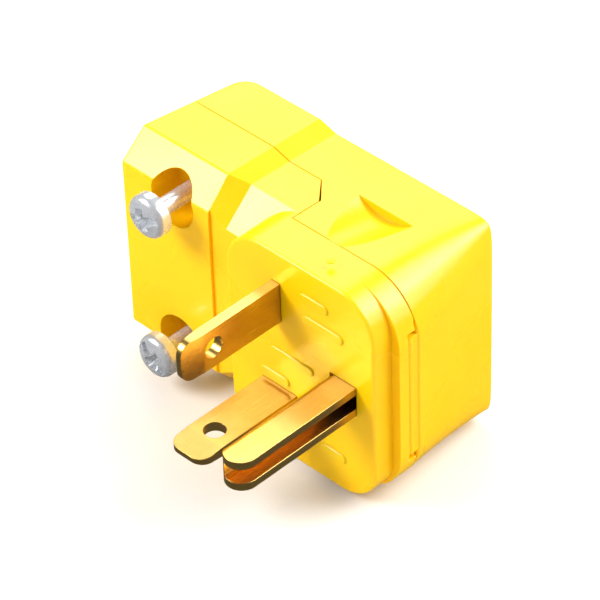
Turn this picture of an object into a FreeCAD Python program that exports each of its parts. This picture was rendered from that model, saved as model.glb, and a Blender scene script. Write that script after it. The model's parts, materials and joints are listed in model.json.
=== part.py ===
import FreeCAD, Part
import math
import os

# Right-angle 20 A grounding attachment plug in a two-part moulded housing.
#
# The frame: X runs along the housing from the cord end (-X) to the hinge end (+X),
# Y runs from the outlet face (Y = 0) back to the rear of the cover, and Z is up.
# The blades point along -Y. The origin is on the outlet face, on the line blades'
# centre line, at half height. All sizes are in millimetres.

Vector = FreeCAD.Vector

# ---- outlet face and base of the housing ----
face_left = -9.25           # X of the face block's cord-side edge
face_right = 17.5           # X of the face block's hinge-side edge
face_corner = 6.4           # corner radius of the face block
face_step = 3.3             # depth of the face block before the base widens
face_edge = 0.45            # rounding of the face block's front edge
base_right = 19.0           # X of the base and cover at the hinge end
base_corner = 8.0           # corner radius of base and cover at the hinge end
rear_fullness = 4.0         # how square that corner is by the rear (0.7 is round)
middle_fullness = 0.7       # and how soon it gets there (smaller is later)
half_height = 17.2          # half the height of the housing body
body_back = 24.3            # Y of the rear of the cover
cover_draft_x = 2.9         # how far the cover's hinge end slopes in by the rear
cover_draft_z = 0.5         # how far top and bottom slope in by the rear
back_edge = 0.4             # rounding of the rear edges and the cord end's edges

# ---- parting between front body and rear cover ----
part_y = 6.7                # Y of the parting plane over the body
clamp_part_y = 15.25        # Y of the parting plane over the cord clamp
slit_x = -3.35              # X of the short parting run that joins the two planes
slit_top_y = 11.85          # where that run turns diagonal
slit_left_x = -6.4          # where the diagonal reaches the clamp's plane
part_gap = 0.2              # gap left between the two mouldings

# ---- neck and cord clamp ----
neck_left = -12.3           # X where the neck starts to swell into the clamp
neck_front = 3.1            # Y of the neck's front
neck_bevel_y = 5.0          # bevel of the neck, measured along Y
neck_bevel_z = 4.7          # and along Z
swell = 3.0                 # length of the slope from neck to clamp
clamp_left = -32.1          # X of the cord end
clamp_front = 2.7           # Y of the clamp's front
clamp_half_height = 18.15   # half the height of the clamp
clamp_bevel_y = 4.05
clamp_bevel_z = 4.3
clamp_end_draft = 2.6       # how far the cord end slopes in by the rear
clamp_edge = 0.7            # rounding of the clamp's bevel edges
clamp_rear_corner = 3.0     # rounding of the cord end into the rear

# ---- hollows ----
wall = 2.8                  # cover's top, bottom and hinge-end wall
rear_wall = 2.2
face_wall = 3.0             # thickness of the outlet face
front_wall = 4.0            # front body's top and bottom wall
cavity_corner = 3.0
cavity_left = -6.4          # X where the wiring chamber starts
lip_thickness = 1.0         # register lip that stands inside the cover
lip_height = 1.5
lip_clearance = 0.12
passage_half = 7.0          # half height of the wire passage through the neck
passage_front = 9.0         # Y of the passage floor in the front body
passage_back = 21.5         # Y of the passage ceiling in the cover
core_wall = 1.7             # plastic left round the hollows beside the passage

# ---- cord bore and its two jaws ----
cord_bore = 5.5             # radius between the jaws' lands
mouth_bore = 6.0            # radius of the cord hole in the housing's end
jaw_thickness = 1.6
jaw_clearance = 0.05
jaw_left = -28.8
jaw_right = -17.0
jaw_grooves = 3
jaw_groove_width = 1.6
jaw_groove_depth = 0.7
jaw_gap = 0.35              # gap between the jaws at the parting plane

# ---- cord screws, nuts and captive washers ----
cord_screw_x = -22.2
cord_screw_z = 12.2
cord_head_radius = 3.25
cord_head_height = 2.9
cord_shank_radius = 1.75
cord_shank_length = 15.2
cord_screw_out = 8.3        # how far the screws stand backed out
counterbore_radius = 4.05
counterbore_floor = 8.0     # Y of the shoulder that the driven heads meet
running_clearance = 0.08
cover_hole_clearance = 0.25
nut_across = 7.94
nut_thickness = 2.8
nut_clearance = 0.08
nut_floor = 19.5            # Y of the shoulder under each nut
washer_radius = 3.4
washer_thickness = 0.8
washer_pocket = 1.05        # pocket depth below the clamp's parting plane
nut_crown = 0.62            # radius that trims a nut's corners, per width across
recess_depth = 1.6
slot_reach = 1.2            # half length of a driver slot, per head radius
bar_reach = 0.55            # half length of the bar across it, per head radius

# ---- hinge at the end away from the cord ----
hinge_x = 18.35
hinge_y = 5.75
bead_radius = 0.5
bead_clearance = 0.06
bead_half_length = 10.0
slot_half_length = 10.9
slot_front = 4.95           # Y of the flange's rear face
bead_neck_left = -0.1       # the bead's web, measured along X from the hinge axis
bead_neck_right = 0.4
hinge_edge = 0.7            # rounding of the cover's edge over the hinge
hinge_relief = 0.3          # front body's edge is lowered beside the hinge

# ---- thumb scoops in top and bottom of the cover ----
scoop_x = 4.3
scoop_half_width = 5.2
scoop_depth = 1.7
scoop_start = 6.9
scoop_end = 16.4

# ---- blades: standard 20 A 125 V grounding pattern ----
blade_width = 6.35
blade_thickness = 1.52
blade_length = 17.7
neutral_z = 9.13
hot_z = -6.35
blade_hole_radius = 1.57
blade_hole_y = -12.1
blade_tip = 1.9             # rounding of the tip's two corners
blade_tip_taper = 0.35
pin_x = 11.89
pin_size = 4.75
pin_sheet = 1.2
pin_length = 21.0
pin_bend = 1.1
blade_fit = 0.06            # clearance round a blade in face and retainer

# ---- terminals ----
pad_y = 8.5                 # Y of the pads' front surface
pad_thickness = 1.5
pad_width = 6.2
pad_reach = 7.7             # from the blade's middle to the pad's end
pad_bend = 1.0
terminal_offset = 4.05      # from the blade's middle to the terminal screw
ground_pad_width = 6.6
ground_pad_reach = 9.0
ground_terminal_offset = 5.9
plate_gap = 0.1
plate_size = 6.0
plate_thickness = 1.2
plate_groove = 0.35         # depth of the wire grooves
plate_groove_radius = 1.2
plate_groove_offset = 2.5   # from the screw to each groove
terminal_head_radius = 2.9
terminal_head_height = 2.4
terminal_shank_radius = 2.05
terminal_shank_length = 6.8

# ---- blade retainer and its screws ----
retainer_fit = 0.1
retainer_top = pad_y        # the pads rest on the retainer
relief_radius = 2.6
relief_floor = 3.9
barrier_thickness = 0.9
barrier_top = 13.4
barrier_left = 1.2
barrier_right = 11.4
fixing_edge = 0.4           # between a fixing boss and the hinge-end wall
fixing_z = 10.2
fixing_boss_radius = 2.8
fixing_boss_top = 6.0
fixing_shank_radius = 1.4
fixing_head_radius = 2.4
fixing_head_height = 1.8
fixing_tip_y = 1.5

fixing_x = base_right - front_wall - fixing_boss_radius - fixing_edge

ALONG_X = Vector(1, 0, 0)
ALONG_Y = Vector(0, 1, 0)
ALONG_Z = Vector(0, 0, 1)
far = 60.0                  # reach of cutting tools, larger than the plug


def block(x0, x1, y0, y1, z0, z1):
    """A box between two corners."""
    return Part.makeBox(x1 - x0, y1 - y0, z1 - z0, Vector(x0, y0, z0))


def rod(radius, x, z, y0, y1):
    """A round bar along Y."""
    return Part.makeCylinder(radius, y1 - y0, Vector(x, y0, z), ALONG_Y)


def prism_z(points, z0, z1):
    """A bar along Z with an (x, y) outline."""
    wire = Part.makePolygon([Vector(x, y, z0) for x, y in points + points[:1]])
    return Part.Face(wire).extrude(Vector(0, 0, z1 - z0))


def outline(points, radii):
    """A closed wire through the points, each corner rounded to its own radius."""
    starts, arcs, ends = [], [], []
    for number, corner in enumerate(points):
        back = (points[number - 1] - corner).normalize()
        ahead = (points[(number + 1) % len(points)] - corner).normalize()
        half_angle = back.getAngle(ahead) / 2
        reach = radii[number] / math.tan(half_angle)
        depth = radii[number] / math.sin(half_angle) - radii[number]
        starts.append(corner + back * reach)
        arcs.append(corner + (back + ahead).normalize() * depth)
        ends.append(corner + ahead * reach)
    edges = []
    for number, radius in enumerate(radii):
        if radius > 0:
            arc = Part.Arc(starts[number], arcs[number], ends[number])
            edges.append(arc.toShape())
        following = starts[(number + 1) % len(points)]
        edges.append(Part.LineSegment(ends[number], following).toShape())
    return Part.Wire(edges)


def rounded_wire(y, left, right, half, left_corner, right_corner):
    """A rounded rectangle in the plane at y, with its own corner radius at each end."""
    corners = [Vector(right, y, -half), Vector(right, y, half),
               Vector(left, y, half), Vector(left, y, -half)]
    return outline(corners, [right_corner, right_corner, left_corner, left_corner])


def rounded_block(left, right, half, left_corner, right_corner, y0, y1):
    """A rounded rectangle carried straight from y0 to y1."""
    wire = rounded_wire(y0, left, right, half, left_corner, right_corner)
    return Part.Face(wire).extrude(Vector(0, y1 - y0, 0))


def joined(first, *others):
    """One solid from several that share faces or overlap."""
    return first.fuse(list(others)).removeSplitter()


def softened(shape, radius, wanted):
    """The shape with every edge that 'wanted' picks rounded to the radius."""
    picked = [edge for edge in shape.Edges if wanted(edge)]
    return shape.makeFillet(radius, picked)


def in_plane_y(edge, y):
    """True if the edge lies in the plane at y."""
    box = edge.BoundBox
    return abs(box.YMin - y) < 0.01 and abs(box.YMax - y) < 0.01


# ---------------------------------------------------------------- outer housing

def drafted(half, y):
    """Half height at y: it shrinks evenly from the parting plane to the rear."""
    return half - cover_draft_z * (y - part_y) / (body_back - part_y)


def bevelled_section(x, front, bevel_y, bevel_z, half, rear_rounding):
    """Cross-section of neck or clamp at x: bevelled in front, rounded at the rear."""
    shoulder = front + bevel_y
    upper = [(front, half - bevel_z), (shoulder, drafted(half, shoulder)),
             (body_back, drafted(half, body_back))]
    points = [Vector(x, y, z) for y, z in upper]
    points += [Vector(x, y, -z) for y, z in reversed(upper)]
    return outline(points, [0, 0, rear_rounding, rear_rounding, 0, 0])


def cover_right(y):
    """X of the cover's hinge end at y: it slopes in evenly towards the rear."""
    return base_right - cover_draft_x * (y - part_y) / (body_back - part_y)


def outside_corner(side):
    """What the cover's corner leaves out: round at the parting, nearly square behind."""
    middle = (part_y + body_back) / 2
    stations = [(part_y, math.sqrt(0.5)), (middle, middle_fullness),
                (body_back, rear_fullness)]
    poles, weights = [], []
    for y, fullness in stations:
        top = side * drafted(half_height, y)
        poles.append([Vector(base_right - base_corner, y, top),
                      Vector(cover_right(y), y, top),
                      Vector(cover_right(y), y, side * (half_height - base_corner))])
        weights.append([1, fullness, 1])
    surface = Part.BSplineSurface()
    surface.buildFromPolesMultsKnots(poles, [3, 3], [3, 3], [0, 1], [0, 1],
                                     False, False, 2, 2, weights)
    return surface.toShape().extrude(Vector(base_right, 0, side * base_right))


def main_body():
    """Face block, base and the drafted body of the cover."""
    face = rounded_block(face_left, face_right, half_height, face_corner, face_corner,
                         0, part_y)
    face = softened(face, face_edge, lambda edge: in_plane_y(edge, 0))
    base = rounded_block(face_left, base_right, half_height, face_corner, base_corner,
                         face_step, part_y)
    front = rounded_wire(part_y, face_left, base_right, half_height, face_corner, 0)
    rear = rounded_wire(body_back, face_left, cover_right(body_back),
                        drafted(half_height, body_back), face_corner, 0)
    cover = Part.makeLoft([front, rear], True, True)
    cover = cover.cut(both_sides(outside_corner))

    def rear_edge(edge):
        return in_plane_y(edge, body_back) and edge.BoundBox.XMax > face_left + face_corner

    return face, base, softened(cover, back_edge, rear_edge)


def clamp_block():
    """The cord clamp, with its sloping end and softened bevels."""
    right = neck_left - swell
    section = bevelled_section(clamp_left, clamp_front, clamp_bevel_y, clamp_bevel_z,
                               clamp_half_height, 0)
    solid = Part.Face(section).extrude(Vector(right - clamp_left, 0, 0))
    corners = [Vector(clamp_left, clamp_front, -far), Vector(right, clamp_front, -far),
               Vector(right, body_back, -far),
               Vector(clamp_left + clamp_end_draft, body_back, -far)]
    profile = outline(corners, [0, 0, 0, clamp_rear_corner])
    solid = solid.common(Part.Face(profile).extrude(Vector(0, 0, 2 * far)))

    def bevel_edge(edge):
        box = edge.BoundBox
        return (box.XLength > swell and box.YLength < 0.01
                and box.YMax < clamp_front + clamp_bevel_y + 0.01)

    def end_or_rear_edge(edge):
        box = edge.BoundBox
        on_end = box.XMax < right - swell and box.YMin < clamp_front + 1
        level = box.ZLength < 1 and box.YMax > clamp_front + clamp_bevel_y + 1
        return on_end or level and (box.XMax < right - 0.01 or in_plane_y(edge, body_back))

    solid = softened(solid, clamp_edge, bevel_edge)
    return softened(solid, back_edge, end_or_rear_edge)


def neck_and_swell():
    """The neck behind the face block, and the slope that swells into the clamp."""
    neck_right = face_left + face_corner
    neck_section = bevelled_section(neck_left, neck_front, neck_bevel_y, neck_bevel_z,
                                    half_height, back_edge)
    neck = Part.Face(neck_section).extrude(Vector(neck_right - neck_left, 0, 0))
    step = neck_front - clamp_front
    left_section = bevelled_section(neck_left - swell, neck_front, clamp_bevel_y - step,
                                    clamp_bevel_z * (1 - step / clamp_bevel_y),
                                    clamp_half_height, back_edge)
    slope = Part.makeLoft([left_section, neck_section], True, True)
    return neck, slope


def housing():
    """The closed plug's outer shape, as if it were one solid."""
    return joined(*main_body(), *neck_and_swell(), clamp_block())


def parting_prism(shift, front_side):
    """The space in front of, or behind, the parting, set back by 'shift'."""
    line = [(far, part_y + shift), (slit_x + shift, part_y + shift),
            (slit_x + shift, slit_top_y + shift), (slit_left_x, clamp_part_y + shift),
            (-far, clamp_part_y + shift)]
    outside = -far if front_side else far
    return prism_z([(far, outside)] + line + [(-far, outside)], -far, far)


def wiring_chamber():
    """The hollow in the cover: straight beside the register lip, drafted behind it."""
    lip_end = part_y + lip_height + lip_clearance
    ceiling = body_back - rear_wall
    mouth = rounded_block(cavity_left, base_right - wall, half_height - wall,
                          cavity_corner, cavity_corner, part_y, lip_end)
    wires = [rounded_wire(lip_end, cavity_left, base_right - wall, half_height - wall,
                          cavity_corner, cavity_corner),
             rounded_wire(ceiling, cavity_left, cover_right(ceiling) - wall,
                          half_height - wall, cavity_corner, cavity_corner)]
    return joined(mouth, Part.makeLoft(wires, True, True))


def front_cavity():
    """The shallower hollow in the front body, where the retainer sits."""
    return rounded_block(cavity_left, base_right - front_wall, half_height - front_wall,
                         cavity_corner, cavity_corner, face_wall, far)


def wire_passage():
    """The way from the wiring chamber to the cord bore."""
    return block(neck_left - swell - 1, cavity_left + cavity_corner,
                 passage_front, passage_back, -passage_half, passage_half)


def beside_passage():
    """Two hollows that keep the neck's walls even, one above and one below."""
    low = passage_half + core_wall
    high = half_height - wall
    upper = block(neck_left - core_wall, cavity_left - core_wall,
                  passage_front, passage_back, low, high)
    lower = upper.mirror(Vector(0, 0, 0), ALONG_Z)
    return Part.makeCompound([upper, lower])


def cord_bores():
    """The cord hole through the clamp, with the wider seat for the jaws."""
    middle = Vector(clamp_left - 5, clamp_part_y, 0)
    hole = Part.makeCylinder(mouth_bore, far / 2, middle, ALONG_X)
    hole = hole.common(block(-far, neck_left - swell, 0, far, -far, far))
    seat = Part.makeCylinder(cord_bore + jaw_thickness + jaw_clearance, jaw_right - jaw_left,
                             Vector(jaw_left, clamp_part_y, 0), ALONG_X)
    return joined(hole, seat)


def both_sides(make):
    """Two copies of a shape that 'make' builds for +1 (upper) and -1 (lower)."""
    return [make(1), make(-1)]


def scoop(side):
    """A thumb scoop: a tilted round trough that ends in a straight wall."""
    radius = (scoop_half_width ** 2 + scoop_depth ** 2) / (2 * scoop_depth)
    length = scoop_end - scoop_start
    tilt = math.atan2(scoop_depth, length)
    start = Vector(scoop_x, scoop_start, side * (half_height + radius))
    direction = Vector(0, math.cos(tilt), -side * math.sin(tilt))
    trough = Part.makeCylinder(radius, 2 * length, start, direction)
    return trough.common(block(-far, far, scoop_start - 5, scoop_end, -far, far))


# ------------------------------------------------------------------ front body

def hinge_slot():
    """The slot in the hinge end that takes the cover's bead."""
    groove = Part.makeCylinder(bead_radius + bead_clearance, 2 * slot_half_length,
                               Vector(hinge_x, hinge_y, -slot_half_length), ALONG_Z)
    mouth = block(hinge_x + bead_neck_left - bead_clearance, base_right + 1, slot_front,
                  part_y, -slot_half_length, slot_half_length)
    relief = block(hinge_x, base_right + 1, part_y - hinge_relief, part_y, -far, far)
    return joined(groove, mouth, relief)


def blade_cuts(y0, y1):
    """Slots for the two line blades and the ground pin."""
    half_w = blade_width / 2 + blade_fit
    half_t = blade_thickness / 2 + blade_fit
    half_p = pin_size / 2 + blade_fit
    neutral = block(-half_t, half_t, y0, y1, neutral_z - half_w, neutral_z + half_w)
    hot = block(-half_w, half_w, y0, y1, hot_z - half_t, hot_z + half_t)
    pin = block(pin_x - half_p, pin_x + half_p, y0, y1, -half_p, half_p)
    return Part.makeCompound([neutral, hot, pin])


def register_lip():
    """A thin wall inside the cover's edge that lines the two mouldings up."""
    right = base_right - wall - lip_clearance
    half = half_height - wall - lip_clearance
    outer = rounded_block(cavity_left, right, half, cavity_corner, cavity_corner,
                          part_y - 1, part_y + lip_height)
    inner = rounded_block(cavity_left - 5, right - lip_thickness, half - lip_thickness,
                          cavity_corner, cavity_corner, part_y - 2, part_y + lip_height + 1)
    body_side = block(slit_x + 1.5 * part_gap, far, 0, far, -far, far)
    return outer.cut(inner).common(body_side)


def fixing_bosses():
    """Two bosses behind the outlet face for the retainer's screws."""
    return [rod(fixing_boss_radius, fixing_x, side * fixing_z, face_wall - 0.5,
                fixing_boss_top) for side in (1, -1)]


def cord_screw_holes(side):
    """Counterbore, shank hole and washer pocket for one cord screw."""
    z = side * cord_screw_z
    front_face = clamp_part_y - part_gap / 2
    counterbore = rod(counterbore_radius, cord_screw_x, z, clamp_front - 5, counterbore_floor)
    hole = rod(cord_shank_radius + running_clearance, cord_screw_x, z, 0, far)
    pocket = rod(washer_radius + running_clearance, cord_screw_x, z,
                 front_face - washer_pocket, front_face + 1)
    return joined(counterbore, hole, pocket)


def front_body(outer):
    """The half that carries the blades and the front of the clamp."""
    solid = outer.common(parting_prism(-part_gap / 2, True))
    solid = solid.cut(front_cavity())
    solid = solid.cut([wire_passage(), beside_passage(), cord_bores(), hinge_slot()])
    solid = solid.cut(both_sides(cord_screw_holes))
    solid = joined(solid, register_lip(), *fixing_bosses())
    solid = solid.cut(blade_cuts(-1, face_wall + 1))
    fixings = [rod(fixing_shank_radius, fixing_x, side * fixing_z, fixing_tip_y, far)
               for side in (1, -1)]
    return solid.cut(fixings)


# ------------------------------------------------------------------ rear cover

def hinge_bead():
    """The round bead on the cover's edge and the web that carries it."""
    bead = Part.makeCylinder(bead_radius, 2 * bead_half_length,
                             Vector(hinge_x, hinge_y, -bead_half_length), ALONG_Z)
    web = block(hinge_x + bead_neck_left, hinge_x + bead_neck_right, hinge_y,
                part_y + 1.5, -bead_half_length, bead_half_length)
    return bead, web


def hinge_rounding():
    """What is taken off the cover's edge above the hinge so that it can swing."""
    y0 = part_y + part_gap / 2
    corner = block(base_right - hinge_edge, base_right + 1, y0 - 1, y0 + hinge_edge,
                   -far, far)
    keep = Part.makeCylinder(hinge_edge, 2 * far,
                             Vector(base_right - hinge_edge, y0 + hinge_edge, -far), ALONG_Z)
    return corner.cut(keep)


def nut_pocket(side):
    """A square pocket in the rear of the clamp, with a hole to the cord screw."""
    z = side * cord_screw_z
    half = nut_across / 2 + nut_clearance
    pocket = block(cord_screw_x - half, cord_screw_x + half, nut_floor, far,
                   z - half, z + half)
    hole = rod(cord_shank_radius + cover_hole_clearance, cord_screw_x, z, 0, far)
    return joined(pocket, hole)


def rear_cover(outer):
    """The half that closes the wiring chamber."""
    solid = outer.common(parting_prism(part_gap / 2, False))
    solid = solid.cut([wiring_chamber(), wire_passage(), beside_passage(), cord_bores()])
    solid = solid.cut(both_sides(nut_pocket))
    solid = solid.cut(both_sides(scoop))
    solid = solid.cut(hinge_rounding())
    return joined(solid, *hinge_bead())


# ------------------------------------------------------------- blades and pin

def line_blade():
    """A line blade with its terminal pad, upright, about its own centre line."""
    half_t = blade_thickness / 2
    half_w = blade_width / 2
    rear = pad_y + pad_thickness
    corners = [Vector(-half_t, rear, -half_w), Vector(-half_t, rear, half_w),
               Vector(-half_t, -blade_length, half_w), Vector(-half_t, -blade_length, -half_w)]
    edge = outline(corners, [0, 0, blade_tip, blade_tip])
    strip = Part.Face(edge).extrude(Vector(blade_thickness, 0, 0))
    for side in (1, -1):
        wedge = prism_z([(side * half_t, 2 * blade_tip - blade_length),
                         (side * (half_t - blade_tip_taper), -blade_length - 0.01),
                         (side * (half_t + 1), -blade_length - 0.01)], -far, far)
        strip = strip.cut(wedge)
    hole = Part.makeCylinder(blade_hole_radius, 2 * blade_width,
                             Vector(-blade_width, blade_hole_y, 0), ALONG_X)
    half_pad = pad_width / 2
    pad = block(-half_t, pad_reach, pad_y, rear, -half_pad, half_pad)
    solid = joined(strip.cut(hole), pad)

    def bend(edge):
        box = edge.BoundBox
        return box.XMax < 0.01 - half_t and in_plane_y(edge, rear) and box.ZLength > half_pad

    solid = softened(solid, pad_bend, bend)
    tapped = rod(terminal_shank_radius + running_clearance, terminal_offset, 0, 0, far)
    return solid.cut(tapped)


def placed_blade(z, quarter_turn):
    """A line blade at its height, turned a quarter turn about its own axis if asked."""
    solid = line_blade()
    if quarter_turn:
        solid.rotate(Vector(0, 0, 0), ALONG_Y, 90)
    solid.translate(Vector(0, 0, z))
    return solid


def ground_pin():
    """The folded ground pin, open towards the hinge end, with its terminal pad."""
    half = pin_size / 2
    rear = pad_y + pad_thickness
    outer = block(pin_x - half, pin_x + half, -pin_length, rear, -half, half)

    def fold(edge):
        box = edge.BoundBox
        return box.YLength > pin_length and box.XMax < pin_x

    outer = softened(outer, pin_bend, fold)
    channel = block(pin_x - half + pin_sheet, pin_x + half + 1, -pin_length - 1, rear + 1,
                    pin_sheet - half, half - pin_sheet)
    folded = outer.cut(channel)
    tip = Part.makeCylinder(half, pin_size * 2, Vector(pin_x, half - pin_length, -pin_size),
                            ALONG_Z)
    tip_zone = block(pin_x - far, pin_x + far, -pin_length - 1, half - pin_length, -far, far)
    folded = folded.cut(tip_zone.cut(tip))
    legs_end = block(pin_x - half + pin_sheet, far, retainer_top, far, -far, far)
    folded = folded.cut(legs_end)
    half_pad = ground_pad_width / 2
    pad = block(pin_x - ground_pad_reach, pin_x - half + pin_sheet, pad_y, rear,
                -half_pad, half_pad)
    solid = joined(folded, pad)
    tapped = rod(terminal_shank_radius + running_clearance,
                 pin_x - ground_terminal_offset, 0, pad_y - 1, far)
    return solid.cut(tapped)


# ------------------------------------------------------------------ terminals

terminal_places = {
    "neutral": (terminal_offset, neutral_z),
    "hot": (0.0, hot_z - terminal_offset),
    "ground": (pin_x - ground_terminal_offset, 0.0),
}
plate_y = pad_y + pad_thickness + plate_gap


def pressure_plate(x, z):
    """A square plate with two wire grooves and a hole for its screw."""
    half = plate_size / 2
    plate = block(x - half, x + half, plate_y, plate_y + plate_thickness, z - half, z + half)
    for side in (1, -1):
        middle = Vector(x + side * plate_groove_offset,
                        plate_y - plate_groove_radius + plate_groove, z - far / 2)
        groove = Part.makeCylinder(plate_groove_radius, far, middle, ALONG_Z)
        plate = plate.cut(groove)
    return plate.cut(rod(terminal_shank_radius + running_clearance, x, z, 0, far))


def cross_recess(radius, width, x, z, y0, y1):
    """A cross-and-slot driver recess between y0 and y1."""
    reach = radius * slot_reach
    cross = radius * bar_reach
    slot = block(x - reach, x + reach, y0, y1, z - width / 2, z + width / 2)
    bar = block(x - width / 2, x + width / 2, y0, y1, z - cross, z + cross)
    return joined(slot, bar)


def terminal_screw(x, z):
    """A binding-head screw with its head towards the cover."""
    under = plate_y + plate_thickness
    top = under + terminal_head_height
    head = rod(terminal_head_radius, x, z, under, top)
    head = softened(head, 0.7, lambda edge: in_plane_y(edge, top))
    shank = rod(terminal_shank_radius, x, z, under - terminal_shank_length, under)
    tip = under - terminal_shank_length
    shank = shank.makeChamfer(0.5, [e for e in shank.Edges if in_plane_y(e, tip)])
    recess = cross_recess(terminal_head_radius, 1.1, x, z, top - recess_depth, top + 1)
    return joined(head, shank).cut(recess)


# ---------------------------------------------------- retainer and its screws

def blade_retainer():
    """The moulded insulator that locks blades and pin against the outlet face."""
    right = base_right - front_wall - retainer_fit
    half = half_height - front_wall - retainer_fit
    corner = cavity_corner - retainer_fit
    solid = rounded_block(cavity_left + retainer_fit, right, half, corner, corner,
                          face_wall, retainer_top)
    middle = (neutral_z - pad_width / 2 + ground_pad_width / 2) / 2
    lower = (hot_z + blade_thickness / 2 - ground_pad_width / 2) / 2
    for z in (middle, lower):
        barrier = block(barrier_left, barrier_right, retainer_top - 1, barrier_top,
                        z - barrier_thickness / 2, z + barrier_thickness / 2)
        solid = joined(solid, barrier)
    solid = solid.cut(blade_cuts(face_wall - 1, far))
    reliefs = [rod(relief_radius, x, z, relief_floor, far)
               for x, z in terminal_places.values()]
    for side in (1, -1):
        z = side * fixing_z
        reliefs.append(rod(fixing_boss_radius + retainer_fit, fixing_x, z, 0,
                           fixing_boss_top + retainer_fit))
        reliefs.append(rod(fixing_shank_radius + retainer_fit, fixing_x, z, 0, far))
    solid = solid.cut(reliefs)
    return solid


def retainer_screw(side):
    """A short pan-head screw through the retainer into its boss."""
    z = side * fixing_z
    top = retainer_top + fixing_head_height
    head = rod(fixing_head_radius, fixing_x, z, retainer_top, top)
    head = softened(head, 0.6, lambda edge: in_plane_y(edge, top))
    shank = rod(fixing_shank_radius - 0.02, fixing_x, z, fixing_tip_y + 0.1, retainer_top)
    recess = cross_recess(fixing_head_radius, 0.8, fixing_x, z, top - 1.1, top + 1)
    return joined(head, shank).cut(recess)


# ------------------------------------------------------ cord clamp hardware

def cord_screw(side):
    """A long machine screw, backed out, with its head in front of the clamp."""
    z = side * cord_screw_z
    under = counterbore_floor - cord_screw_out
    front = under - cord_head_height
    tip = under + cord_shank_length
    head = rod(cord_head_radius, cord_screw_x, z, front, under)
    head = softened(head, 1.3, lambda edge: in_plane_y(edge, front))
    shank = rod(cord_shank_radius, cord_screw_x, z, under, tip)
    shank = shank.makeChamfer(0.5, [e for e in shank.Edges if in_plane_y(e, tip)])
    recess = cross_recess(cord_head_radius, 1.0, cord_screw_x, z, front - 1,
                          front + recess_depth)
    return joined(head, shank).cut(recess)


def square_nut(side):
    """A square nut in its pocket in the rear of the clamp."""
    z = side * cord_screw_z
    half = nut_across / 2
    nut = block(cord_screw_x - half, cord_screw_x + half, nut_floor,
                nut_floor + nut_thickness, z - half, z + half)
    crown = rod(nut_across * nut_crown, cord_screw_x, z, nut_floor, nut_floor + nut_thickness)
    return nut.common(crown).cut(
        rod(cord_shank_radius + running_clearance, cord_screw_x, z, 0, far))


def captive_washer(side):
    """A fibre washer that grips the screw's thread inside the clamp's face."""
    z = side * cord_screw_z
    floor = clamp_part_y - part_gap / 2 - washer_pocket
    ring = rod(washer_radius, cord_screw_x, z, floor, floor + washer_thickness)
    return ring.cut(rod(cord_shank_radius + running_clearance / 2, cord_screw_x, z, 0, far))


def cord_jaw(front_side):
    """One ribbed half-liner of the cord bore."""
    start = Vector(jaw_left, clamp_part_y, 0)
    length = jaw_right - jaw_left
    tube = Part.makeCylinder(cord_bore + jaw_thickness, length, start, ALONG_X)
    tube = tube.cut(Part.makeCylinder(cord_bore, length, start, ALONG_X))
    pitch = length / (jaw_grooves + 1)
    for number in range(jaw_grooves):
        at = jaw_left + pitch * (number + 1) - jaw_groove_width / 2
        groove = Part.makeCylinder(cord_bore + jaw_groove_depth, jaw_groove_width,
                                   Vector(at, clamp_part_y, 0), ALONG_X)
        tube = tube.cut(groove)
    if front_side:
        half = block(-far, far, -far, clamp_part_y - jaw_gap / 2, -far, far)
    else:
        half = block(-far, far, clamp_part_y + jaw_gap / 2, far, -far, far)
    return tube.common(half)


# ------------------------------------------------------------------- output

def build():
    """Every piece of the plug, by name."""
    outer = housing()
    pieces = {
        "front_body": front_body(outer),
        "rear_cover": rear_cover(outer),
        "blade_retainer": blade_retainer(),
        "neutral_blade": placed_blade(neutral_z, False),
        "hot_blade": placed_blade(hot_z, True),
        "ground_pin": ground_pin(),
        "front_cord_jaw": cord_jaw(True),
        "rear_cord_jaw": cord_jaw(False),
    }
    for name, (x, z) in terminal_places.items():
        pieces[name + "_pressure_plate"] = pressure_plate(x, z)
        pieces[name + "_terminal_screw"] = terminal_screw(x, z)
    for name, side in (("upper", 1), ("lower", -1)):
        pieces[name + "_cord_screw"] = cord_screw(side)
        pieces[name + "_square_nut"] = square_nut(side)
        pieces[name + "_captive_washer"] = captive_washer(side)
        pieces[name + "_retainer_screw"] = retainer_screw(side)
    return pieces


os.makedirs("parts", exist_ok=True)
for name, shape in build().items():
    print(name, len(shape.Solids), shape.isValid(), round(shape.Volume, 1))
    shape.Solids[0].exportStep("parts/" + name + ".step")
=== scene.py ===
# %% [markdown]
# # A right-angle 20 A attachment plug
#
# The plug is a yellow nylon housing in two halves, with two flat brass blades, a folded
# brass ground pin and two long clamp screws that stand backed out. The CAD model already
# holds every part at its real size, so this lesson adds what CAD leaves out: threads and
# driver recesses, the small raised marks of a moulding, and finishes that look like nylon,
# drawn brass and plated steel. Everything is in metres, in the CAD model's own frame.

import json
import math

import bmesh
import bpy
from mathutils import Matrix, Vector


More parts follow.
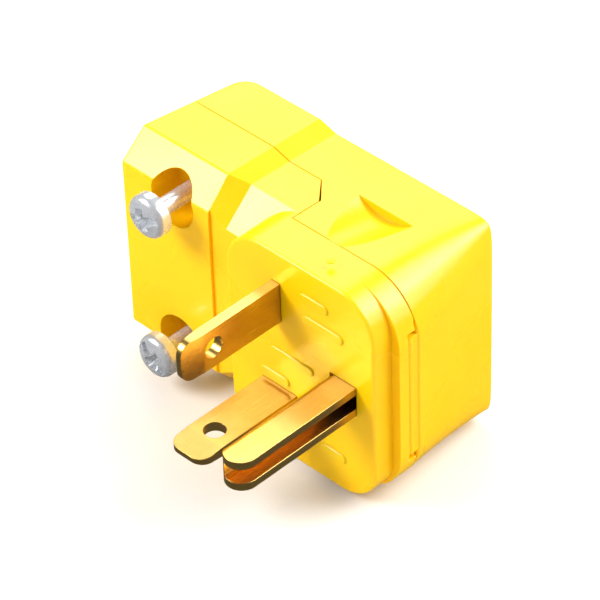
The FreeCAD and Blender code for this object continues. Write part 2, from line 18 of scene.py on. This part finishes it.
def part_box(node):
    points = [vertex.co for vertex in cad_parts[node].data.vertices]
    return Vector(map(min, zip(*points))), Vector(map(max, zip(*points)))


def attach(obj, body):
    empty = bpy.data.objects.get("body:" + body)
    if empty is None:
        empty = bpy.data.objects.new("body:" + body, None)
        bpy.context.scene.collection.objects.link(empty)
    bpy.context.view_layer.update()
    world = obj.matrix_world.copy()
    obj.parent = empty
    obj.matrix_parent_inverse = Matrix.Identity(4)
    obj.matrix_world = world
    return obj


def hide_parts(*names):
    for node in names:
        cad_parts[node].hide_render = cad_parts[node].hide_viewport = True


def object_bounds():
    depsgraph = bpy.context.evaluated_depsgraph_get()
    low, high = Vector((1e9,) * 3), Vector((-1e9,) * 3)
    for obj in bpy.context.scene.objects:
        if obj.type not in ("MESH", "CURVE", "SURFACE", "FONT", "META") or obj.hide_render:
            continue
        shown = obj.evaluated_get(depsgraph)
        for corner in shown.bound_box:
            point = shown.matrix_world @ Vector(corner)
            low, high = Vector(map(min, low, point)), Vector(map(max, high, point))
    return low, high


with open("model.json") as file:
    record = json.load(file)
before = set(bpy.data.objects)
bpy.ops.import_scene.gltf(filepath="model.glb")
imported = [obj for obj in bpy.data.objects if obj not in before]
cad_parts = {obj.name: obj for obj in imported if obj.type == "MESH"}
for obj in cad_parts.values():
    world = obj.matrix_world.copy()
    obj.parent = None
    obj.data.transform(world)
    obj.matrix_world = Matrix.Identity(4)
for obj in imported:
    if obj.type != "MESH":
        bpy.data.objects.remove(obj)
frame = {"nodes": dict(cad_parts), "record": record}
cad_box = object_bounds()
MM = 0.001

# %% [markdown]
# ## The camera
#
# The plug is seen from its front right corner and from above, with a long lens, so that
# parallel edges stay almost parallel. A camera could be placed by eye, but it is easier to
# keep it right when it is worked out: an aim point, two angles, a distance and a slight
# roll. Azimuth 0 looks along +Y and 90 along -X.

# %% Place the camera
AIM = Vector((-1.07, 5.35, 5.34)) * MM
CAMERA_AZIMUTH = math.radians(45.87)
CAMERA_ELEVATION = math.radians(39.71)
CAMERA_ROLL = math.radians(2.03)
CAMERA_DISTANCE = 487.0 * MM
LENS_MM = 221.25


def place_camera():
    """A camera on a sphere round the aim point."""
    level = math.cos(CAMERA_ELEVATION)
    looks = Vector((-math.sin(CAMERA_AZIMUTH) * level,
                    math.cos(CAMERA_AZIMUTH) * level,
                    -math.sin(CAMERA_ELEVATION)))
    data = bpy.data.cameras.new("camera")
    data.lens = LENS_MM
    data.sensor_width = 36.0
    camera = bpy.data.objects.new("camera", data)
    turn = looks.to_track_quat("-Z", "Y").to_matrix().to_4x4()
    roll = Matrix.Rotation(-CAMERA_ROLL, 4, "Z")
    camera.matrix_world = Matrix.Translation(AIM - looks * CAMERA_DISTANCE) @ turn @ roll
    bpy.context.scene.collection.objects.link(camera)
    bpy.context.scene.camera = camera
    return camera


camera = place_camera()
print("camera at", [round(c / MM, 1) for c in camera.location], "mm")

# %% [markdown]
# ## Light
#
# Glossy yellow nylon shows its shape through broad, pale reflections on its rounded
# corners, while its flat faces stay a deep yellow. Small lamps would leave hard spots on
# it, so large soft boxes stand where the bevels and corners mirror them. One of them is a
# card that shows only in reflections, which widens the pale band on the right corner
# without lighting the side below it. A white sky fills the shadows. It is dimmer in
# reflections than on dull surfaces, because a bright sky mirrored in every flat face would
# wash the yellow out.

# %% Soft boxes
LAMP_WHITE = (1.0, 0.995, 0.98)


def soft_box(name, direction, distance, wide, high, brightness, gloss_only=False):
    """A flat lamp that looks at the aim point; metres, and brightness per square metre."""
    data = bpy.data.lights.new(name, "AREA")
    data.shape = "RECTANGLE"
    data.size = wide
    data.size_y = high
    data.energy = brightness * math.pi * wide * high
    data.color = LAMP_WHITE
    lamp = bpy.data.objects.new(name, data)
    away = Vector(direction).normalized()
    lamp.matrix_world = (Matrix.Translation(AIM + away * distance)
                         @ away.to_track_quat("Z", "Y").to_matrix().to_4x4())
    lamp.visible_diffuse = not gloss_only
    bpy.context.scene.collection.objects.link(lamp)
    print(name, round(data.energy, 2), "W")


soft_box("front_left_box", (-0.55, -0.64, 0.60), 0.62, 0.27, 0.27, 17.5)
soft_box("back_right_box", (0.42, 0.54, 0.66), 0.66, 0.62, 0.34, 8.0)
soft_box("right_corner_card", (0.70, 0.50, 0.50), 0.60, 0.40, 0.46, 3.5, gloss_only=True)
soft_box("back_left_box", (-0.55, 0.54, 0.62), 0.66, 0.36, 0.36, 3.2)

# %% Sky
SKY_ON_DULL = 0.50
SKY_IN_GLOSS = 0.12
WHITE = (1.0, 1.0, 1.0, 1.0)


def pale_sky():
    """A white sky, dimmed where a glossy surface mirrors it."""
    world = bpy.data.worlds.new("pale_sky")
    world.use_nodes = True
    tree = world.node_tree
    background = tree.nodes["Background"]
    background.inputs["Color"].default_value = WHITE
    ray = tree.nodes.new("ShaderNodeLightPath")
    dimmer = tree.nodes.new("ShaderNodeMapRange")
    dimmer.inputs["To Min"].default_value = SKY_ON_DULL
    dimmer.inputs["To Max"].default_value = SKY_IN_GLOSS
    tree.links.new(ray.outputs["Is Glossy Ray"], dimmer.inputs["Value"])
    tree.links.new(dimmer.outputs["Result"], background.inputs["Strength"])
    return world


bpy.context.scene.world = pale_sky()
bpy.context.scene.view_settings.view_transform = "Standard"
print("sky:", SKY_ON_DULL, "on dull surfaces,", SKY_IN_GLOSS, "in reflections")

# %% [markdown]
# ## Tools for making finishes
#
# Each finish is a Principled shader whose colour, roughness and fine relief come from
# noise that is fixed to the object. It could come from painted images, but noise has no
# seams and stays sharp at any distance. A few small helpers keep the finishes short: one
# makes the material and one adds a noise stretched along an axis, and three feed that noise
# into a number, a colour or fine bumps. Values that are the same all over go straight on
# the shader.

# %% A material and its noise
FINE_GRAINED = 0.55  # how strong each finer layer of a noise is beside the one before


def finish(name, metallic=0.0, specular=0.5):
    """A new material with its shader, and a coordinate node in the object's own frame."""
    material = bpy.data.materials.new(name)
    material.use_nodes = True
    nodes = material.node_tree.nodes
    shader = nodes["Principled BSDF"]
    shader.inputs["Metallic"].default_value = metallic
    shader.inputs["Specular IOR Level"].default_value = specular
    return material, shader, nodes.new("ShaderNodeTexCoord")


def grain(material, place, stretch, scale, detail=3.0):
    """Noise with so many grains per metre, stretched by a factor along each axis."""
    tree = material.node_tree
    mapping = tree.nodes.new("ShaderNodeMapping")
    mapping.inputs["Scale"].default_value = [scale / s for s in stretch]
    noise = tree.nodes.new("ShaderNodeTexNoise")
    noise.inputs["Scale"].default_value = 1.0
    noise.inputs["Detail"].default_value = detail
    noise.inputs["Roughness"].default_value = FINE_GRAINED
    tree.links.new(place.outputs["Object"], mapping.inputs["Vector"])
    tree.links.new(mapping.outputs["Vector"], noise.inputs["Vector"])
    return noise


# %% Noise into numbers, colours and bumps
NOISE_LOW = 0.3
NOISE_HIGH = 0.7
EDGE_SAMPLES = 4


def between(material, noise, low, high, target):
    """Feeds a shader socket with the noise, spread between two values."""
    tree = material.node_tree
    spread = tree.nodes.new("ShaderNodeMapRange")
    spread.inputs["From Min"].default_value = NOISE_LOW
    spread.inputs["From Max"].default_value = NOISE_HIGH
    spread.inputs["To Min"].default_value = low
    spread.inputs["To Max"].default_value = high
    tree.links.new(noise.outputs["Fac"], spread.inputs["Value"])
    tree.links.new(spread.outputs["Result"], target)


def shades(material, noise, dark, light, target):
    """Feeds a colour socket with a mix of two shades by the noise."""
    tree = material.node_tree
    ramp = tree.nodes.new("ShaderNodeValToRGB")
    first, last = ramp.color_ramp.elements
    first.position = NOISE_LOW
    last.position = NOISE_HIGH
    first.color = (*dark, 1.0)
    last.color = (*light, 1.0)
    tree.links.new(noise.outputs["Fac"], ramp.inputs["Fac"])
    tree.links.new(ramp.outputs["Color"], target)


def relief(material, noise, height, strength, shader, edge):
    """Fine bumps of a height in metres, over edges rounded by a radius in metres."""
    tree = material.node_tree
    bump = tree.nodes.new("ShaderNodeBump")
    bump.inputs["Distance"].default_value = height
    bump.inputs["Strength"].default_value = strength
    tree.links.new(noise.outputs["Fac"], bump.inputs["Height"])
    soft = tree.nodes.new("ShaderNodeBevel")
    soft.samples = EDGE_SAMPLES
    soft.inputs["Radius"].default_value = edge
    tree.links.new(soft.outputs["Normal"], bump.inputs["Normal"])
    tree.links.new(bump.outputs["Normal"], shader.inputs["Normal"])


# %% [markdown]
# ## Moulded nylon
#
# The housing is bright yellow nylon from a polished mould. The real one is a touch
# translucent, glossy and very slightly uneven, because the plastic shrinks as it cools. A
# little scattering under the surface gives the warm glow in the recesses, and a faint,
# wide relief breaks up the reflections as an orange peel does.

# %% Yellow nylon
EVEN = (1, 1, 1)


def yellow_nylon():
    """Glossy moulded nylon with a faint orange peel."""
    material, shader, place = finish("yellow_nylon", specular=0.46)
    clouds = grain(material, place, EVEN, 70.0, detail=2.0)
    peel = grain(material, place, EVEN, 900.0, detail=2.0)
    shades(material, clouds, (0.97, 0.55, 0.001), (0.99, 0.58, 0.002),
           shader.inputs["Base Color"])
    between(material, clouds, 0.24, 0.34, shader.inputs["Roughness"])
    relief(material, peel, 0.00003, 0.25, shader, edge=0.00012)
    shader.inputs["Subsurface Weight"].default_value = 0.35
    shader.inputs["Subsurface Radius"].default_value = (1.0, 0.55, 0.05)
    shader.inputs["Subsurface Scale"].default_value = 0.0016
    return material


NYLON = yellow_nylon()
print("made", NYLON.name)

# %% [markdown]
# ## Drawn brass, plated steel and the small parts
#
# The blades are stamped from drawn brass strip, so fine lines run along them. The clamp
# screws are zinc-plated steel, the terminal plates satin brass or nickel, and the ground
# terminal's screw is dyed green. All are metals, so they share one recipe: two shades, a
# stretched grain and its relief. Zinc plate is a little milky, so it isn't fully metallic.

# %% Metals
ALONG_Y = (0.5, 60.0, 0.5)
STAINS_PER_METRE = 260.0


def worked_metal(name, dark, light, rough, stretch, scale, height, metallic=1.0):
    """A metal with two shades, a grain stretched along its lines, and that grain's relief."""
    material, shader, place = finish(name, metallic=metallic)
    lines = grain(material, place, stretch, scale, detail=4.0)
    stains = grain(material, place, EVEN, STAINS_PER_METRE)
    shades(material, stains, dark, light, shader.inputs["Base Color"])
    between(material, lines, rough[0], rough[1], shader.inputs["Roughness"])
    relief(material, lines, height, 0.6, shader, edge=0.00015)
    return material


DRAWN_BRASS = worked_metal("drawn_brass", (0.68, 0.43, 0.11), (0.76, 0.51, 0.15),
                           (0.26, 0.34), ALONG_Y, 4200.0, 0.0000025)
SATIN_BRASS = worked_metal("satin_brass", (0.58, 0.36, 0.11), (0.78, 0.54, 0.20),
                           (0.28, 0.42), EVEN, 3000.0, 0.000006)
NICKEL = worked_metal("nickel_plate", (0.62, 0.60, 0.55), (0.78, 0.76, 0.70),
                      (0.16, 0.28), EVEN, 2500.0, 0.000005)
ZINC = worked_metal("bright_zinc", (0.62, 0.65, 0.70), (0.86, 0.88, 0.92),
                    (0.20, 0.32), EVEN, 1400.0, 0.000003, metallic=0.6)
GREEN_DYE = worked_metal("green_dyed_plate", (0.02, 0.20, 0.07), (0.06, 0.40, 0.16),
                         (0.22, 0.34), EVEN, 2500.0, 0.000005)
print("made", [m.name for m in (DRAWN_BRASS, SATIN_BRASS, NICKEL, ZINC, GREEN_DYE)])


# %% [markdown]
# ## The dull materials
#
# The insulator that locks the blades is pressed grey phenolic, the cord jaws are black
# rubber, and the washers that keep the clamp screws captive are red fibre. None of them is
# polished, so they share a recipe with a high roughness and a fine grain of specks.

# %% Phenolic, rubber and fibre
def matt_stuff(name, dark, light, rough, scale, height):
    """A dull moulded or pressed material with a fine grain."""
    material, shader, place = finish(name, specular=0.35)
    specks = grain(material, place, EVEN, scale, detail=4.0)
    shades(material, specks, dark, light, shader.inputs["Base Color"])
    between(material, specks, rough[0], rough[1], shader.inputs["Roughness"])
    relief(material, specks, height, 0.5, shader, edge=0.0001)
    return material


PHENOLIC = matt_stuff("grey_phenolic", (0.030, 0.030, 0.033), (0.060, 0.060, 0.064),
                      (0.42, 0.58), 1800.0, 0.00002)
RUBBER = matt_stuff("jaw_rubber", (0.012, 0.012, 0.013), (0.026, 0.026, 0.028),
                    (0.62, 0.78), 1500.0, 0.00003)
FIBRE = matt_stuff("red_fibre", (0.15, 0.045, 0.022), (0.26, 0.085, 0.045),
                   (0.60, 0.75), 2600.0, 0.00002)
print("made", [m.name for m in (PHENOLIC, RUBBER, FIBRE)])

# %% [markdown]
# ## Finishes onto the CAD nodes
#
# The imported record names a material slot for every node, so one table from slot to finish
# covers all of them. New pieces are dressed from the same table, and take the body that
# their node belongs to, so they move with it.

# %% Give every CAD node its finish
SLOT_FINISH = {
    "housing": NYLON, "insulator": PHENOLIC, "blade_brass": DRAWN_BRASS,
    "terminal_brass": SATIN_BRASS, "nickel": NICKEL, "green_screw": GREEN_DYE,
    "screw_steel": ZINC, "zinc_steel": ZINC, "jaw_rubber": RUBBER, "fibre": FIBRE,
}
SHARP = math.radians(32)
node_body = {node: body for body, names in frame["record"]["behaviour"]["bodies"].items()
             for node in names}
node_slot = {row["node"]: row["material_slot"] for row in frame["record"]["subparts"]}
for name, node in frame["nodes"].items():
    node.data.materials.clear()
    node.data.materials.append(SLOT_FINISH[node_slot[name]])
print("finished", len(frame["nodes"]), "CAD nodes")


def dress(piece, node):
    """Gives a new piece the finish, the slot and the body of a CAD node."""
    piece.data.materials.clear()
    piece.data.materials.append(SLOT_FINISH[node_slot[node]])
    piece.data.shade_smooth()
    piece.data.set_sharp_from_angle(angle=SHARP)
    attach(piece, node_body[node])


# %% [markdown]
# ## Screws with real threads
#
# Every screw in the plug is a machine screw, which CAD holds as a plain cylinder of the
# thread's outer size. A thread could be a bump in a material, but the clamp screws' ends
# stand in plain view once the cover is open. Here the thread is real: a grid of points is
# wound round the shank, and each column of it climbs by its share of the pitch, so that
# the crests run as one true helix. The grid's two ends close on flat rings.

# %% A threaded shank
AROUND = 40
THREAD_SHAPE = (0.0, 0.0, 0.55, 1.0, 1.0, 0.55)  # from root to crest, over one pitch


def threaded_shank(mesh, start, end, radius, depth, pitch, plain):
    """Adds a closed threaded rod along +Z; 'plain' lengths at both ends have no thread."""
    per_turn = len(THREAD_SHAPE)
    rows = int((end - start) / pitch * per_turn - 0.5) - per_turn
    rise = pitch / per_turn
    offset = ((end - start) - (rows + per_turn) * rise) / 2

    def point(row, column):
        along = start + offset + (row + per_turn * column / AROUND) * rise
        fade = min(1.0, max(0.0, (along - start - plain) / pitch),
                   max(0.0, (end - plain - along) / pitch))
        size = radius - depth + depth * THREAD_SHAPE[row % per_turn] * fade
        angle = 2 * math.pi * column / AROUND
        return mesh.verts.new((size * math.cos(angle), size * math.sin(angle), along))

    def ring(along):
        size = radius - depth
        return [mesh.verts.new((size * math.cos(2 * math.pi * c / AROUND),
                                size * math.sin(2 * math.pi * c / AROUND), along))
                for c in range(AROUND)]

    grid = [[point(row, column) for column in range(AROUND)] for row in range(rows + 1)]
    for row in range(rows):
        for column in range(AROUND - 1):
            mesh.faces.new((grid[row][column], grid[row][column + 1],
                            grid[row + 1][column + 1], grid[row + 1][column]))
    last = AROUND - 1
    for row in range(rows - per_turn):
        mesh.faces.new((grid[row][last], grid[row + per_turn][0],
                        grid[row + per_turn + 1][0], grid[row + 1][last]))
    low, high = ring(start), ring(end)
    for column in range(last):
        mesh.faces.new((low[column], low[column + 1], grid[0][column + 1], grid[0][column]))
        mesh.faces.new((grid[rows][column], grid[rows][column + 1],
                        high[column + 1], high[column]))
    mesh.faces.new([low[last], low[0]] + [grid[r][0] for r in range(per_turn + 1)]
                   + [grid[0][last]])
    mesh.faces.new([high[0], high[last], grid[rows][last]]
                   + [grid[r][last] for r in range(rows - 1, rows - per_turn - 1, -1)]
                   + [grid[rows][0]])
    mesh.faces.new(list(reversed(low)))
    mesh.faces.new(high)


# %% [markdown]
# ## Screw heads
#
# The clamp screws have a deep, rounded head with a combination recess: a cross for one
# driver and a straight slot for another. Such a recess is stamped, so its walls lean
# inwards. The recess could be drawn into the head's own faces, but it crosses the dome at
# odd places, so the head is turned from a profile with a rounded rim, and exact Booleans
# then cut tapered bars out of it, before the head is moved or dressed. In a cross the cuts
# also leave four doubled slivers under 0.2 mm, which still have to be cleaned away.

# %% A turned piece
HEAD_AROUND = 72


def turned(name, profile):
    """A solid of revolution about +Z from (radius, height) points, closed by flat ends."""
    mesh = bmesh.new()
    rings = []
    for size, along in profile:
        rings.append([mesh.verts.new((size * math.cos(2 * math.pi * c / HEAD_AROUND),
                                      size * math.sin(2 * math.pi * c / HEAD_AROUND), along))
                      for c in range(HEAD_AROUND)])
    for low, high in zip(rings, rings[1:]):
        for c in range(HEAD_AROUND):
            d = (c + 1) % HEAD_AROUND
            mesh.faces.new((low[c], low[d], high[d], high[c]))
    mesh.faces.new(list(reversed(rings[0])))
    mesh.faces.new(rings[-1])
    data = bpy.data.meshes.new(name)
    mesh.to_mesh(data)
    mesh.free()
    piece = bpy.data.objects.new(name, data)
    bpy.context.scene.collection.objects.link(piece)
    return piece


# %% A head's outline
SEAT_GAP = 0.03 * MM
RIM_STEPS = 6
DOME_STEPS = 8
FOOT_CHAMFER = 0.2  # as a share of the rim's radius


def head_profile(radius, height, dome, rim):
    """The side, the rounded rim and the domed top of a head that starts at height 0."""
    chamfer = rim * FOOT_CHAMFER
    points = [(radius - chamfer, SEAT_GAP), (radius, SEAT_GAP + chamfer)]
    side = height - dome
    for step in range(RIM_STEPS + 1):
        turn = math.pi / 2 * step / RIM_STEPS
        points.append((radius - rim + rim * math.cos(turn), side - rim + rim * math.sin(turn)))
    for step in range(1, DOME_STEPS):
        left = 1 - step / DOME_STEPS
        points.append(((radius - rim) * left, side + dome * (1 - left ** 2)))
    return points


# %% Tapered bars, and cutting with them
CORNERS = ((-1, -1), (1, -1), (1, 1), (-1, 1))


def tapered_bar(shape, size, top, low):
    """A bar that narrows downwards; 'shape' gives its half sizes as shares of the head's."""
    mesh = bmesh.new()
    long_top, wide_top, long_low, wide_low = [share * size for share in shape]
    low_ring = [mesh.verts.new((x * long_low, y * wide_low, low)) for x, y in CORNERS]
    top_ring = [mesh.verts.new((x * long_top, y * wide_top, top)) for x, y in CORNERS]
    mesh.faces.new(list(reversed(low_ring)))
    mesh.faces.new(top_ring)
    for c in range(4):
        d = (c + 1) % 4
        mesh.faces.new((low_ring[c], low_ring[d], top_ring[d], top_ring[c]))
    return mesh


def settle(piece):
    """Applies a piece's modifiers to its mesh."""
    bpy.context.view_layer.update()
    shaped = piece.evaluated_get(bpy.context.evaluated_depsgraph_get())
    data = bpy.data.meshes.new_from_object(shaped)
    piece.modifiers.clear()
    piece.data = data


def cut(target, mesh, name):
    """Cuts a closed mesh out of the target for good."""
    bmesh.ops.recalc_face_normals(mesh, faces=mesh.faces)
    data = bpy.data.meshes.new(name)
    mesh.to_mesh(data)
    mesh.free()
    tool = bpy.data.objects.new(name, data)
    bpy.context.scene.collection.objects.link(tool)
    step = target.modifiers.new("cut", "BOOLEAN")
    step.operation = "DIFFERENCE"
    step.solver = "EXACT"
    step.object = tool
    settle(target)
    bpy.data.objects.remove(tool)


# %% The driver recess
SLOT_BAR = (0.95, 0.17, 0.78, 0.13)
CROSS_BAR = (0.66, 0.24, 0.16, 0.10)
SLOT_DEPTH = 0.6  # as a share of the cross's depth
SLOT_ABOVE = 1.0 * MM
CROSS_ABOVE = 0.2 * MM


def recess(head, size, depth, top, cross):
    """Stamps a straight slot, and for most screws a cross, into the head's top."""
    cut(head, tapered_bar(SLOT_BAR, size, top + SLOT_ABOVE, top - depth * SLOT_DEPTH), "slot")
    if not cross:
        return
    for quarter in (0, 1):
        arms = tapered_bar(CROSS_BAR, size, top + CROSS_ABOVE, top - depth)
        bmesh.ops.rotate(arms, verts=arms.verts, cent=(0, 0, 0),
                         matrix=Matrix.Rotation(math.pi / 2 * quarter, 3, "Z"))
        cut(head, arms, "arms")


# %% [markdown]
# ## The seven screws
#
# Two long clamp screws, three terminal screws and two short ones that hold the insulator
# are made by one function. It reads each screw's place, length and head size from its CAD
# node's box, builds head and thread about +Z, and turns the result to lie along the node.
# A clamp screw has a long smooth neck under its head, thinner than its thread, so that it
# hangs in its washer when it is backed out.

# %% The screws' sizes
SCREWS = {
    # millimetres; 'looks' is the way the head faces in Y, and 'turn' is in degrees
    "cord": {"head": 2.9, "shank": 1.75, "neck": 1.28, "neck_long": 9.4, "pitch": 0.79,
             "dome": 0.5, "rim": 1.05, "recess": 1.8, "cross": True, "looks": -1,
             "turn": 24.0},
    "terminal": {"head": 2.4, "shank": 2.05, "neck": 1.65, "neck_long": 0.4, "pitch": 0.79,
                 "dome": 0.35, "rim": 0.6, "recess": 1.3, "cross": False, "looks": 1,
                 "turn": 35.0},
    "retainer": {"head": 1.8, "shank": 1.38, "neck": 1.03, "neck_long": 0.4, "pitch": 0.70,
                 "dome": 0.30, "rim": 0.5, "recess": 1.0, "cross": True, "looks": 1,
                 "turn": 10.0},
}
TAIL = 0.35 * MM
TURN_STEP = 47.0
print("kinds of screw:", sorted(SCREWS))


# %% Make and place the screws
def plain_neck(mesh, start, end, radius):
    """The smooth stretch between head and thread."""
    bmesh.ops.create_cone(mesh, cap_ends=True, segments=AROUND, radius1=radius, radius2=radius,
                          depth=end - start,
                          matrix=Matrix.Translation((0, 0, (start + end) / 2)))


def make_screw(node, size, turn):
    """One screw that stands in for its CAD node."""
    low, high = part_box(node)
    middle = (low + high) / 2
    reach = high.y - low.y
    head_height = size["head"] * MM
    head_radius = (high.x - low.x) / 2
    head = turned(node + ".look", head_profile(head_radius, head_height, size["dome"] * MM,
                                               size["rim"] * MM))
    recess(head, head_radius, size["recess"] * MM, head_height, size["cross"])
    mesh = bmesh.new()
    mesh.from_mesh(head.data)
    thread_end = -size["neck_long"] * MM
    threaded_shank(mesh, head_height - reach, thread_end, size["shank"] * MM,
                   (size["shank"] - size["neck"]) * MM, size["pitch"] * MM, TAIL)
    plain_neck(mesh, thread_end - TAIL, TAIL, size["neck"] * MM)
    face_along = Matrix.Rotation(math.pi / 2 * -size["looks"], 4, "X")
    spin = Matrix.Rotation(math.radians(turn), 4, "Z")
    top = low.y if size["looks"] < 0 else high.y
    place = Vector((middle.x, top - size["looks"] * head_height, middle.z))
    bmesh.ops.transform(mesh, matrix=Matrix.Translation(place) @ face_along @ spin,
                        verts=mesh.verts)
    bmesh.ops.recalc_face_normals(mesh, faces=mesh.faces)
    mesh.to_mesh(head.data)
    mesh.free()
    dress(head, node)
    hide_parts(node)
    return head


for number, node in enumerate(sorted(frame["nodes"])):
    if node.endswith("_screw"):
        kind = node.split("_")[-2]
        screw = make_screw(node, SCREWS[kind], SCREWS[kind]["turn"] + TURN_STEP * number)
        print(node, "faces:", len(screw.data.polygons))

# %% [markdown]
# ## Raised marks on the outlet face
#
# A moulder cuts shallow marks into the mould, which stand up on the part as raised marks.
# Their wording isn't wanted here, so each line of it becomes a plain raised dash of the
# same length, with leaning sides as a mould needs to let go of the part. A bump in the
# material would do from straight ahead, but not from the side.

# %% Raised dashes
MARK_PROUD = 0.25
MARK_HIGH = 1.5
MARK_LAYERS = ((0.0, 0.03), (0.10, 0.06 - MARK_PROUD), (0.17, -MARK_PROUD))  # inset, Y
END_STEPS = 8
MARK_ROWS = (
    # from X, to X and middle Z, in millimetres
    (4.4, 9.6, 12.5),
    (4.8, 12.2, 9.0),
    (-1.5, 6.6, 0.3),
    (-3.4, 2.0, -4.2),
    (7.6, 12.2, -11.6),
)


def raised_dash(start, end, level, number):
    """One dash: a rounded bar whose top is smaller than its foot."""
    mesh = bmesh.new()
    rings = []
    for inset, height in MARK_LAYERS:
        radius = MARK_HIGH / 2 - inset
        ring = []
        for side, centre in ((1, end - MARK_HIGH / 2), (-1, start + MARK_HIGH / 2)):
            for step in range(END_STEPS + 1):
                turn = math.pi * (step / END_STEPS - 0.5)
                ring.append(mesh.verts.new((
                    (centre + side * radius * math.cos(turn)) * MM,
                    height * MM,
                    (level + side * radius * math.sin(turn)) * MM)))
        rings.append(ring)
    count = len(rings[0])
    for low, high in zip(rings, rings[1:]):
        for c in range(count):
            d = (c + 1) % count
            mesh.faces.new((low[c], low[d], high[d], high[c]))
    mesh.faces.new(list(reversed(rings[0])))
    mesh.faces.new(rings[-1])
    bmesh.ops.recalc_face_normals(mesh, faces=mesh.faces)
    data = bpy.data.meshes.new("raised_dash")
    mesh.to_mesh(data)
    mesh.free()
    dash = bpy.data.objects.new("raised_dash_%d" % number, data)
    bpy.context.scene.collection.objects.link(dash)
    dress(dash, "front_body")


for number, (start, end, level) in enumerate(MARK_ROWS):
    raised_dash(start, end, level, number + 1)
print("raised dashes:", len(MARK_ROWS))

# %% [markdown]
# ## The gate's pip
#
# Molten nylon enters the mould through a gate, which is snapped off and leaves a small
# round pip with a rough top. It is turned like the screw heads, from a profile with a
# hollow top. Its height is read from the front body's box, whose top is the clamp's, so
# the pip stands 0.9 mm clear of the lower side under it. That is a known fault: half the
# housing's height, 17.2 mm, is where it belongs.

# %% Gate pip
GATE_X = 7.4
GATE_Y = 2.9
GATE_RADIUS = 0.62
GATE_PROFILE = ((1.0, -0.05), (1.0, 0.06), (0.8, 0.13), (0.45, 0.13), (0.25, 0.05))


def gate_pip():
    """A low round pip with a hollow in its top."""
    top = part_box("front_body")[1].z
    profile = [(share * GATE_RADIUS * MM, height * MM) for share, height in GATE_PROFILE]
    pip = turned("gate_pip", profile)
    pip.data.transform(Matrix.Translation((GATE_X * MM, GATE_Y * MM, top)))
    dress(pip, "front_body")
    print("gate pip at", GATE_X, GATE_Y, round(top / MM, 2), "mm")


gate_pip()

# %% [markdown]
# ## Floor
#
# The floor is a large sheet of white paper at the height of the object's lowest point. It is
# left out of reflections, for the same reason as the sky is dimmed in them.

# %% Lay the floor
FLOOR_HALF = 1.5


def lay_floor():
    """A large sheet of white paper under the plug."""
    low = cad_box[0][2]
    mesh = bpy.data.meshes.new("floor")
    corners = [(x * FLOOR_HALF, y * FLOOR_HALF, low) for x, y in CORNERS]
    mesh.from_pydata(corners, [], [(0, 1, 2, 3)])
    floor = bpy.data.objects.new("floor", mesh)
    bpy.context.scene.collection.objects.link(floor)
    material, shader, place = finish("white_paper", specular=0.1)
    fibres = grain(material, place, EVEN, 2500.0)
    shades(material, fibres, (0.83, 0.83, 0.83), (0.85, 0.85, 0.85),
           shader.inputs["Base Color"])
    shader.inputs["Roughness"].default_value = 0.9
    mesh.materials.append(material)
    floor.visible_glossy = False
    print("floor at Z", round(low / MM, 2), "mm")


lay_floor()
